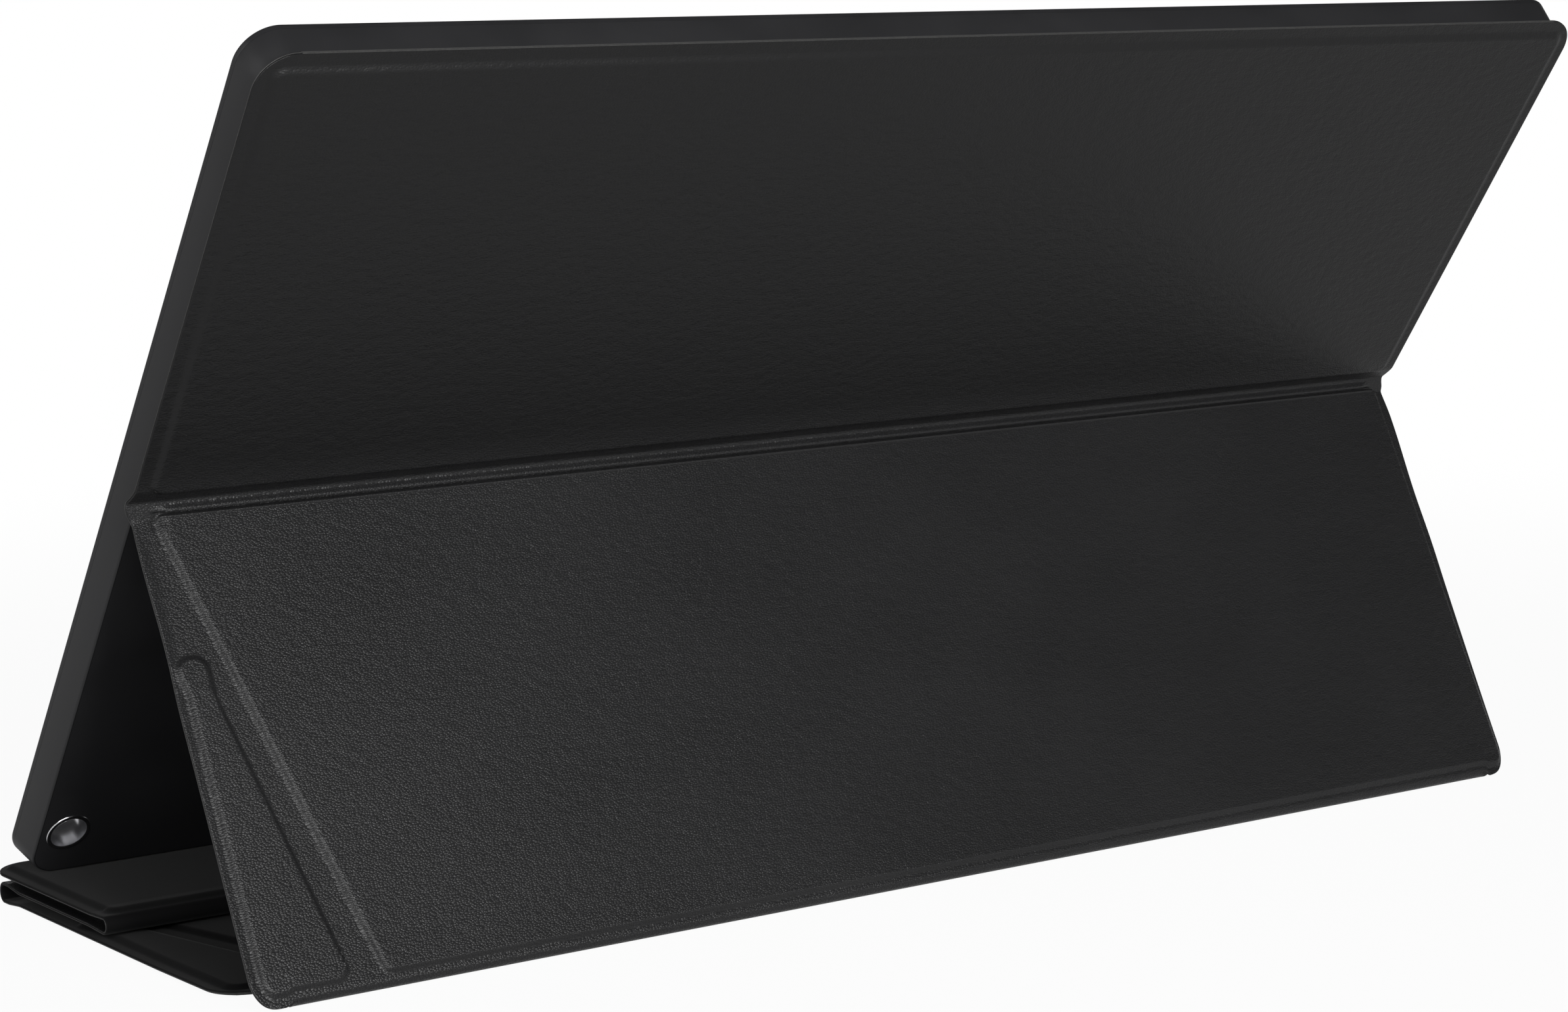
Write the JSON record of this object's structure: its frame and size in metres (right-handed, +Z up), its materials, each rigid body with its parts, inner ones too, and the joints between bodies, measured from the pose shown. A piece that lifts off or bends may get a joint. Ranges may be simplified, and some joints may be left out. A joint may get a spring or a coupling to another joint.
{
  "type": "portable monitor with cover",
  "caption": "Slim USB-powered portable monitor leaning back on its own folding leather-look cover, which folds into a rear leg, a table panel and a layered front rest.",
  "frame": {"origin": "middle of the underside of the cover's table panel, on the surface it stands on", "axes": "+X to the right seen from the screen side, along the monitor's long side; +Y from the screen towards the leg; +Z up"},
  "size_m": [0.3596, 0.1478, 0.1964],
  "materials": {
    "housing": "fine moulded grain, dark grey",
    "bezel": "satin",
    "screen": "anti-glare, dark",
    "film": "satin",
    "acrylic": "clear",
    "white_film": "matt white",
    "sheet_steel": "zinc plated",
    "led_strip": "satin",
    "printed_board": "solder mask",
    "socket_steel": "nickel plated",
    "switch_plastic": "matt",
    "flat_cable": "satin",
    "screw_steel": "zinc plated",
    "liner_chrome": "polished",
    "key_plastic": "satin",
    "leather": "fine grain, soft sheen",
    "lining": "brushed microfibre",
    "stiffener": "plain",
    "adhesive": "clear acrylic",
    "magnet": "nickel plated"
  },
  "bodies": {
    "monitor": {"rear_cover": "housing", "front_bezel": "bezel", "lcd_cell": "screen", "film_stack": "film", "light_guide": "acrylic", "reflector_sheet": "white_film", "panel_chassis": "sheet_steel", "led_strip": "led_strip", "timing_board": "printed_board", "main_board": "printed_board", "usb_c_socket": "socket_steel", "key_switches": "switch_plastic", "panel_cable": "flat_cable", "board_screws": "screw_steel", "pen_hole_liner": "liner_chrome", "cover_adhesive": "adhesive", "upper_skin": "leather", "upper_lining": "lining", "upper_board": "stiffener"},
    "power_button": {"power_button": "key_plastic"},
    "menu_button": {"menu_button": "key_plastic"},
    "leg": {"main_crease": "leather", "leg_skin": "leather", "leg_lining": "lining", "leg_board": "stiffener", "leg_corner_board": "stiffener"},
    "table_panel": {"foot_fold": "leather", "floor_skin": "leather", "floor_lining": "lining", "floor_board": "stiffener", "floor_corner_board": "stiffener"},
    "second_layer": {"front_fold": "leather", "second_skin": "leather", "second_lining": "lining", "second_board": "stiffener"},
    "top_layer": {"rear_fold": "leather", "top_skin": "leather", "top_lining": "lining", "top_board": "stiffener", "closing_magnets": "magnet"}
  },
  "joints": [
    {"name": "main_crease_fold", "type": "hinge", "parent": "monitor", "child": "leg", "pos_m": [0, 0.01224, 0.09561], "axis": [-1, 0, 0], "range_deg": [0, 61.83], "deforming": ["main_crease"]},
    {"name": "foot_crease_fold", "type": "hinge", "parent": "leg", "child": "table_panel", "pos_m": [0, 0.06, 0.0012], "axis": [1, 0, 0], "range_deg": [0, 151.83], "deforming": ["foot_fold"]},
    {"name": "front_crease_fold", "type": "hinge", "parent": "table_panel", "child": "second_layer", "pos_m": [0, -0.06, 0.00255], "axis": [1, 0, 0], "range_deg": [0, 180], "deforming": ["front_fold"]},
    {"name": "rear_crease_fold", "type": "hinge", "parent": "second_layer", "child": "top_layer", "pos_m": [0, -0.0085, 0.00525], "axis": [-1, 0, 0], "range_deg": [0, 180], "deforming": ["rear_fold"]},
    {"name": "power_press", "type": "slide", "parent": "monitor", "child": "power_button", "axis": [0, 0.8192, -0.5736], "range_m": [0, 0.0003], "stiffness_N_per_m": 4000},
    {"name": "menu_press", "type": "slide", "parent": "monitor", "child": "menu_button", "axis": [0, 0.8192, -0.5736], "range_m": [0, 0.0003], "stiffness_N_per_m": 4000}
  ],
  "couplings": [
    {"joint": "foot_crease_fold", "follows": "main_crease_fold", "ratio": 2.4554},
    {"joint": "front_crease_fold", "follows": "main_crease_fold", "ratio": 2.911},
    {"joint": "rear_crease_fold", "follows": "main_crease_fold", "ratio": 2.911}
  ]
}
